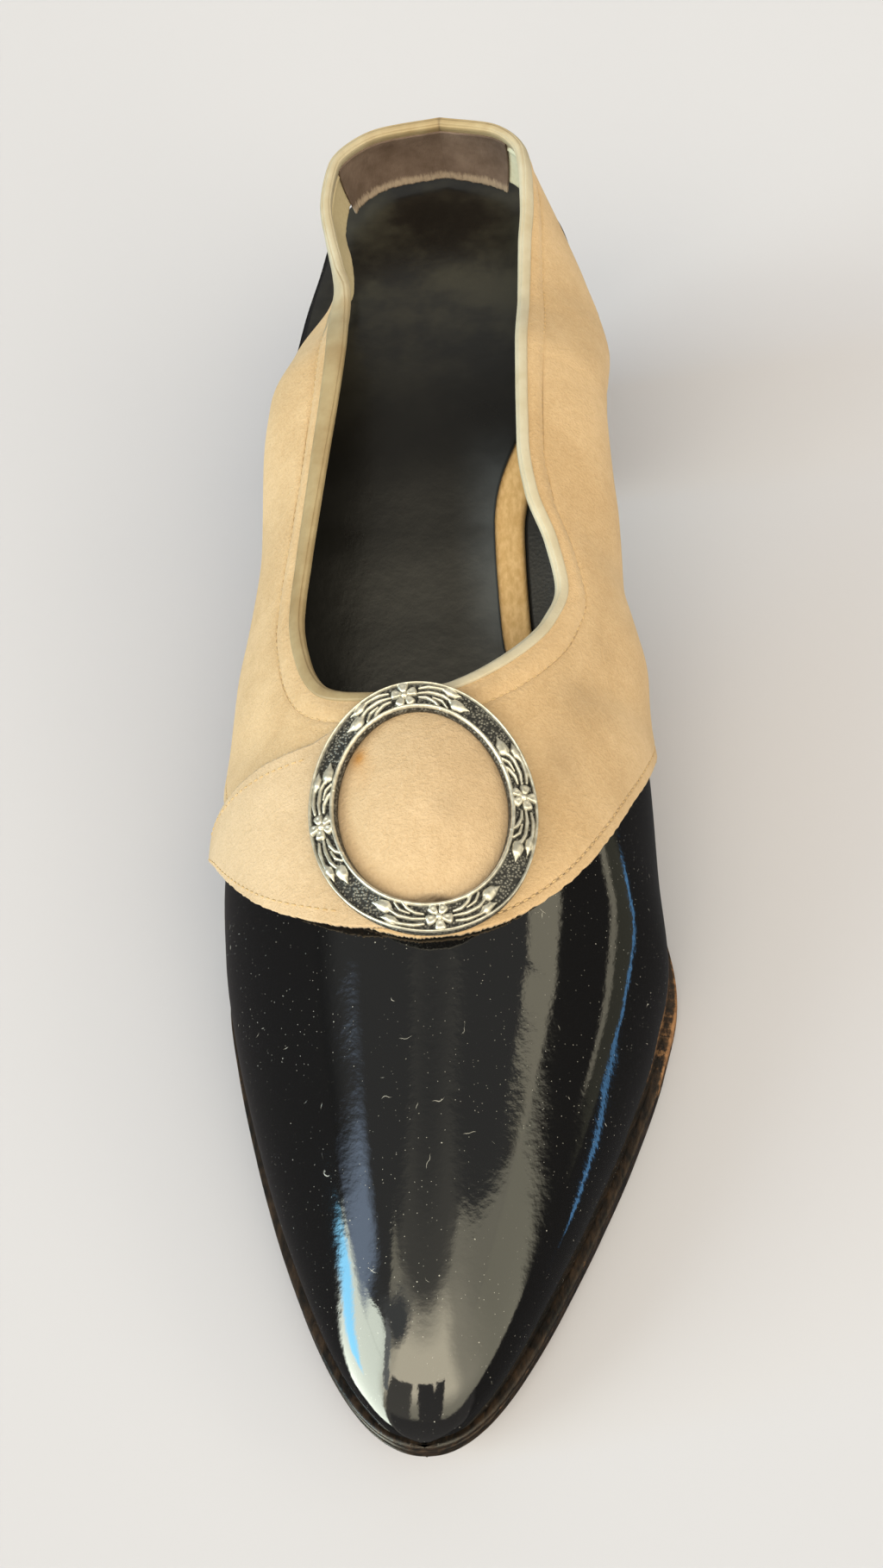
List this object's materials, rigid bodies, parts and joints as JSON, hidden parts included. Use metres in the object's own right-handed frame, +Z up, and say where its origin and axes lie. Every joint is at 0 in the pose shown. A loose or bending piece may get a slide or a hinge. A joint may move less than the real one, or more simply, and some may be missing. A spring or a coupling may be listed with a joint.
{
  "type": "slingback court shoe",
  "caption": "Pointed slingback court shoe for the right foot: glossy vamp, suede throat and soft sling, oval ornamental buckle, mid-height covered heel.",
  "frame": {"origin": "middle of the shoe's box, on the floor that it stands on", "axes": "-Y towards the toe, +Y towards the heel, +X towards the medial (big-toe) side, +Z up"},
  "size_m": [0.078, 0.2484, 0.0725],
  "materials": {
    "patent": "black patent, high gloss",
    "suede": "sand suede, napped",
    "binding": "cream, satin",
    "silver": "antique silver, darkened in the recesses",
    "sole_leather": "dark brown-black edge, worn",
    "insole_board": "tan board",
    "sock_leather": "black, satin",
    "top_piece_rubber": "black, matt"
  },
  "bodies": {
    "root": {"outsole": "sole_leather", "heel": "patent", "top_piece": "top_piece_rubber", "insole": "insole_board", "sock": "sock_leather", "upper": "patent", "suede_band": "suede", "strap_tab": "suede", "topline_binding": "binding", "buckle": "silver"}
  },
  "joints": []
}
